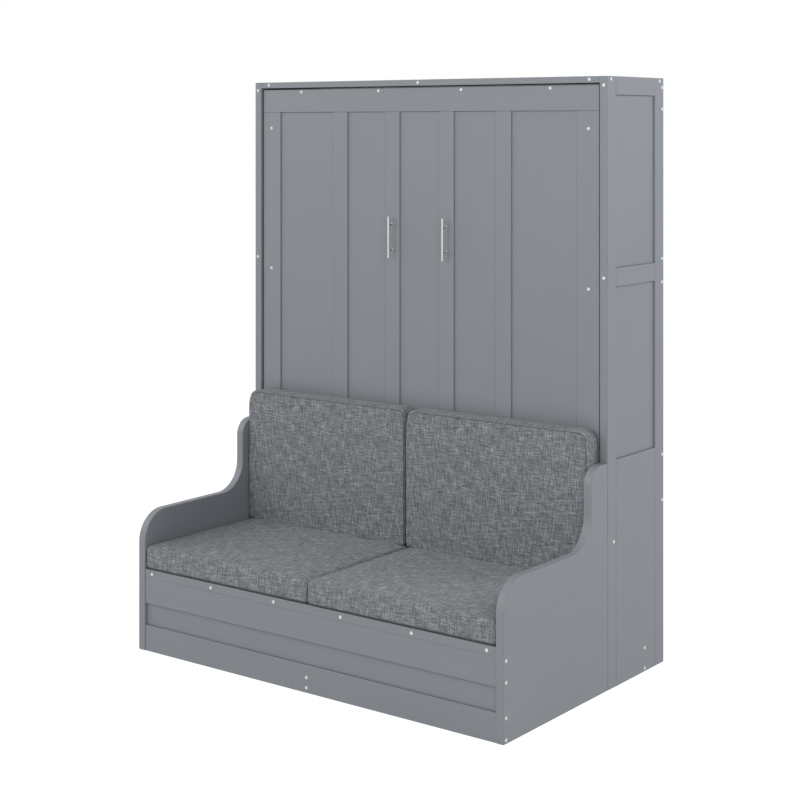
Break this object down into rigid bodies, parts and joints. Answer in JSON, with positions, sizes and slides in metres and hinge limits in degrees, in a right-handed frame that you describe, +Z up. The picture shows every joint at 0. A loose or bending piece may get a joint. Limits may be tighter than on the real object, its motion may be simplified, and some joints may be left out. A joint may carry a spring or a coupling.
{
  "type": "wall bed",
  "caption": "Upright cabinet with a fold-down double bed behind its panelled face, gas struts, swing-out legs, and a cushioned sofa built on in front.",
  "frame": {"origin": "on the floor, in the middle of the footprint", "axes": "+X to the viewer's right when facing the bed, +Y to the back of the cabinet, +Z up"},
  "size_m": [1.69, 1.087, 2.2],
  "materials": {
    "paint": "satin grey paint on board",
    "panel_paint": "satin grey paint on thin panel",
    "bare_wood": "planed pine, unpainted",
    "plated_steel": "zinc plated",
    "black_steel": "black powder coat",
    "satin_steel": "satin",
    "seat_linen": "grey flecked linen weave",
    "back_linen": "grey flecked linen weave"
  },
  "bodies": {
    "cabinet": {"side_front_stile_left": "paint", "side_front_stile_right": "paint", "side_back_stile_left": "paint", "side_back_stile_right": "paint", "side_top_rail_left": "paint", "side_top_rail_right": "paint", "side_mid_rail_left": "paint", "side_mid_rail_right": "paint", "side_upper_panel_left": "panel_paint", "side_upper_panel_right": "panel_paint", "side_middle_panel_left": "panel_paint", "side_middle_panel_right": "panel_paint", "side_lower_panel_left": "paint", "side_lower_panel_right": "paint", "top_board": "paint", "back_rail_top": "paint", "back_rail_middle": "paint", "back_rail_low": "paint", "base_rail": "paint", "pivot_pin_left": "plated_steel", "pivot_pin_right": "plated_steel", "strut_bracket_left": "black_steel", "strut_bracket_right": "black_steel", "sofa_arm_left": "paint", "sofa_arm_right": "paint", "seat_base_board": "paint", "seat_recess_board": "panel_paint", "seat_front_board": "paint", "seat_edge_strip": "paint", "seat_deck": "paint", "seat_rear_board": "bare_wood"},
    "bed": {"face_top_rail": "paint", "face_bottom_rail": "paint", "face_panel": "panel_paint", "face_stile_left": "paint", "face_stile_right": "paint", "face_batten_inner_left": "paint", "face_batten_inner_right": "paint", "face_batten_outer_left": "paint", "face_batten_outer_right": "paint", "bed_side_rail_left": "paint", "bed_side_rail_right": "paint", "bed_head_rail": "paint", "bed_foot_rail": "paint", "bed_centre_beam": "bare_wood", "slat_base": "bare_wood", "bed_pivot_plate_left": "black_steel", "bed_pivot_plate_right": "black_steel", "handle_left": "satin_steel", "handle_right": "satin_steel"},
    "leg_left": {"leg_left": "black_steel"},
    "leg_right": {"leg_right": "black_steel"},
    "strut_tube_left": {"strut_tube_left": "black_steel"},
    "strut_tube_right": {"strut_tube_right": "black_steel"},
    "strut_rod_left": {"strut_rod_left": "satin_steel"},
    "strut_rod_right": {"strut_rod_right": "satin_steel"},
    "seat_cushion_left": {"seat_cushion_left": "seat_linen"},
    "seat_cushion_right": {"seat_cushion_right": "seat_linen"},
    "back_cushion_left": {"back_cushion_left": "back_linen"},
    "back_cushion_right": {"back_cushion_right": "back_linen"}
  },
  "joints": [
    {"name": "bed_tilt", "type": "hinge", "parent": "cabinet", "child": "bed", "pos_m": [0, 0.1705, 0.525], "axis": [1, 0, 0], "range_deg": [0, 90], "stiffness_Nm_per_rad": 60, "springref_deg": -20.05},
    {"name": "leg_left_swing", "type": "hinge", "parent": "bed", "child": "leg_left", "pos_m": [-0.8085, 0.2015, 2.09], "axis": [-1, 0, 0], "range_deg": [0, 90]},
    {"name": "leg_right_swing", "type": "hinge", "parent": "bed", "child": "leg_right", "pos_m": [0.8085, 0.2015, 2.09], "axis": [-1, 0, 0], "range_deg": [0, 90]},
    {"name": "strut_left_swing", "type": "hinge", "parent": "cabinet", "child": "strut_tube_left", "pos_m": [-0.7985, 0.5015, 1], "axis": [1, 0, 0], "range_deg": [0, 5.53]},
    {"name": "strut_right_swing", "type": "hinge", "parent": "cabinet", "child": "strut_tube_right", "pos_m": [0.7985, 0.5015, 1], "axis": [1, 0, 0], "range_deg": [0, 5.53]},
    {"name": "strut_left_stroke", "type": "slide", "parent": "strut_tube_left", "child": "strut_rod_left", "axis": [0, 0.4537, 0.8911], "range_m": [0, 0.2044]},
    {"name": "strut_right_stroke", "type": "slide", "parent": "strut_tube_right", "child": "strut_rod_right", "axis": [0, 0.4537, 0.8911], "range_m": [0, 0.2044]},
    {"name": "back_cushion_left_tip", "type": "hinge", "parent": "cabinet", "child": "back_cushion_left", "pos_m": [-0.4035, 0.0465, 0.4065], "axis": [1, 0, 0], "range_deg": [0, 90]},
    {"name": "back_cushion_right_tip", "type": "hinge", "parent": "cabinet", "child": "back_cushion_right", "pos_m": [0.4035, 0.0465, 0.4065], "axis": [1, 0, 0], "range_deg": [0, 90]},
    {"name": "seat_cushion_left_pull", "type": "slide", "parent": "cabinet", "child": "seat_cushion_left", "axis": [0, -1, 0], "range_m": [0, 0.67]},
    {"name": "seat_cushion_right_pull", "type": "slide", "parent": "cabinet", "child": "seat_cushion_right", "axis": [0, -1, 0], "range_m": [0, 0.67]}
  ],
  "couplings": [
    {"joint": "strut_left_swing", "follows": "bed_tilt", "ratio": 0.061382},
    {"joint": "strut_right_swing", "follows": "bed_tilt", "ratio": 0.061382},
    {"joint": "strut_left_stroke", "follows": "bed_tilt", "m_per_rad": 0.13011},
    {"joint": "strut_right_stroke", "follows": "bed_tilt", "m_per_rad": 0.13011},
    {"joint": "back_cushion_left_tip", "follows": "bed_tilt", "ratio": 1},
    {"joint": "back_cushion_right_tip", "follows": "bed_tilt", "ratio": 1}
  ]
}
